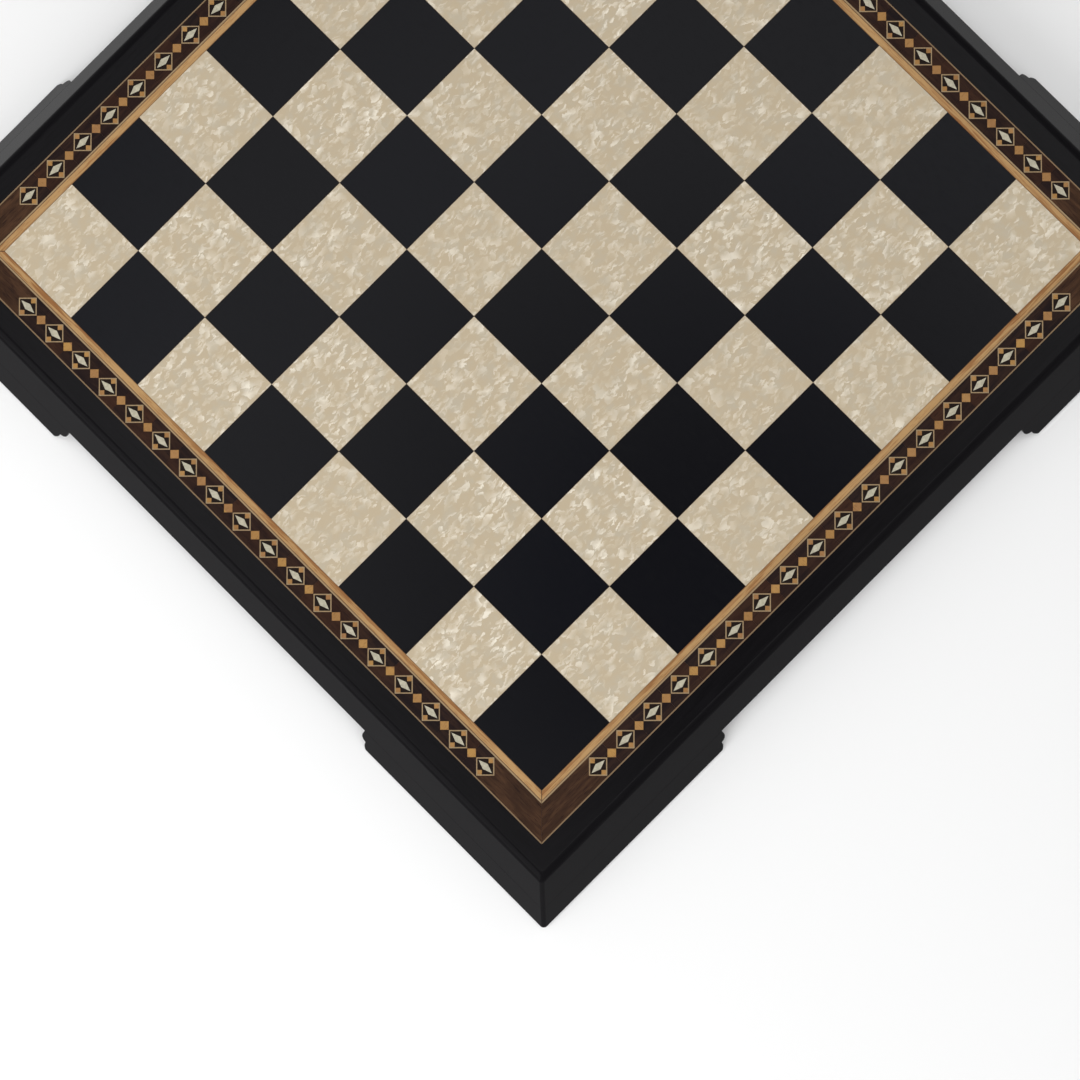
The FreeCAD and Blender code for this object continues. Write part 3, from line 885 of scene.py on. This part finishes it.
def light_tent(studio):
    """A pale tent all round: a lit ring overhead, with a dark hole that the camera looks through."""
    world = bpy.data.worlds.new("light tent")
    world.use_nodes = True
    nodes, links = world.node_tree.nodes, world.node_tree.links
    direction = nodes.new("ShaderNodeTexCoord").outputs["Generated"]
    offset = nodes.new("ShaderNodeVectorMath")
    offset.operation = "SUBTRACT"
    offset.inputs[1].default_value = TENT_HOLE
    flat = nodes.new("ShaderNodeVectorMath")
    flat.operation = "MULTIPLY"
    flat.inputs[1].default_value = (1, 1, 0)
    length_of = nodes.new("ShaderNodeVectorMath")
    length_of.operation = "LENGTH"
    links.new(direction, offset.inputs[0])
    links.new(offset.outputs[0], flat.inputs[0])
    links.new(flat.outputs[0], length_of.inputs[0])
    ramp = nodes.new("ShaderNodeValToRGB")
    stops = ramp.color_ramp.elements
    for place, share in TENT:
        stop = stops.new(place)
        stop.color = (share, share, share, 1)
    stops.remove(stops[0])
    stops.remove(stops[-1])
    links.new(length_of.outputs["Value"], ramp.inputs[0])
    links.new(ramp.outputs["Color"], nodes["Background"].inputs["Color"])
    towards = nodes.new("ShaderNodeVectorMath")
    towards.operation = "DOT_PRODUCT"
    towards.inputs[1].default_value = NEAR_CORNER
    links.new(direction, towards.inputs[0])
    lean = nodes.new("ShaderNodeMapRange")
    limits = (-1, 1, studio.tent * (1 - TENT_LEAN), studio.tent * (1 + TENT_LEAN))
    for socket, value in zip(lean.inputs[1:5], limits):
        socket.default_value = value
    links.new(towards.outputs["Value"], lean.inputs["Value"])
    links.new(lean.outputs["Result"], nodes["Background"].inputs["Strength"])
    bpy.context.scene.world = world


class CHESSBOARD_OT_stage(bpy.types.Operator):
    """Set the floor, the lamps and the camera"""

    bl_idname = "chessboard.stage"
    bl_label = "Stage"

    def execute(self, context):
        scene, studio = context.scene, context.scene.studio_settings
        floor = bmesh.new()
        bmesh.ops.create_grid(floor, x_segments=1, y_segments=1, size=studio.floor_size / 2)
        data = bpy.data.meshes.new("studio_floor")
        floor.to_mesh(data)
        floor.free()
        paper = bpy.data.materials.new("pale paper")
        paper.use_nodes = True
        shader = paper.node_tree.nodes["Principled BSDF"]
        shader.inputs["Base Color"].default_value = (*studio.floor, 1.0)
        shader.inputs["Roughness"].default_value = 0.9
        shader.inputs["Specular IOR Level"].default_value = 0.1
        data.materials.append(paper)
        ground = bpy.data.objects.new("studio_floor", data)
        scene.collection.objects.link(ground)
        softbox("side softbox", *SIDE_SOFTBOX, studio.side_light)
        light_tent(studio)
        lens = bpy.data.cameras.new("overhead camera")
        lens.lens = studio.lens
        lens.clip_end = 50
        camera = bpy.data.objects.new("overhead camera", lens)
        scene.collection.objects.link(camera)
        place, aim = Vector(studio.camera_place), Vector(studio.camera_aim)
        away = (place - aim).normalized()
        across = Vector((1, 1, 0)).cross(away).normalized()
        turn = Matrix((across, away.cross(across), away)).transposed()
        camera.matrix_world = Matrix.Translation(place) @ turn.to_4x4()
        scene.camera = camera
        scene.view_settings.view_transform = "Standard"
        return {"FINISHED"}


class CHESSBOARD_PT_panel(bpy.types.Panel):
    """The board's sizes, colours and pieces"""

    bl_idname = "CHESSBOARD_PT_panel"
    bl_label = "Chess board"
    bl_space_type = "VIEW_3D"
    bl_region_type = "UI"
    bl_category = "Chess board"

    def draw(self, context):
        for group in (context.scene.board_sizes, context.scene.board_finishes, context.scene.studio_settings):
            column = self.layout.column()
            for name in group.__annotations__:
                column.prop(group, name)
        for operator in OPERATORS:
            self.layout.operator(operator.bl_idname)


OPERATORS = (
    CHESSBOARD_OT_finishes,
    CHESSBOARD_OT_frame_rails,
    CHESSBOARD_OT_corner_feet,
    CHESSBOARD_OT_glue_blocks,
    CHESSBOARD_OT_felt_pads,
    CHESSBOARD_OT_field,
    CHESSBOARD_OT_border,
    CHESSBOARD_OT_panel_parts,
    CHESSBOARD_OT_stage,
)
CLASSES = (BoardSizes, BoardFinishes, StudioSettings, *OPERATORS, CHESSBOARD_PT_panel)


def register():
    for item in CLASSES:
        bpy.utils.register_class(item)
    bpy.types.Scene.board_sizes = PointerProperty(type=BoardSizes)
    bpy.types.Scene.board_finishes = PointerProperty(type=BoardFinishes)
    bpy.types.Scene.studio_settings = PointerProperty(type=StudioSettings)


def unregister():
    del bpy.types.Scene.studio_settings
    del bpy.types.Scene.board_finishes
    del bpy.types.Scene.board_sizes
    for item in reversed(CLASSES):
        bpy.utils.unregister_class(item)


def main():
    register()
    for operator in OPERATORS:
        group, name = operator.bl_idname.split(".")
        getattr(getattr(bpy.ops, group), name)()
    bpy.context.view_layer.update()


if __name__ == "__main__":
    main()
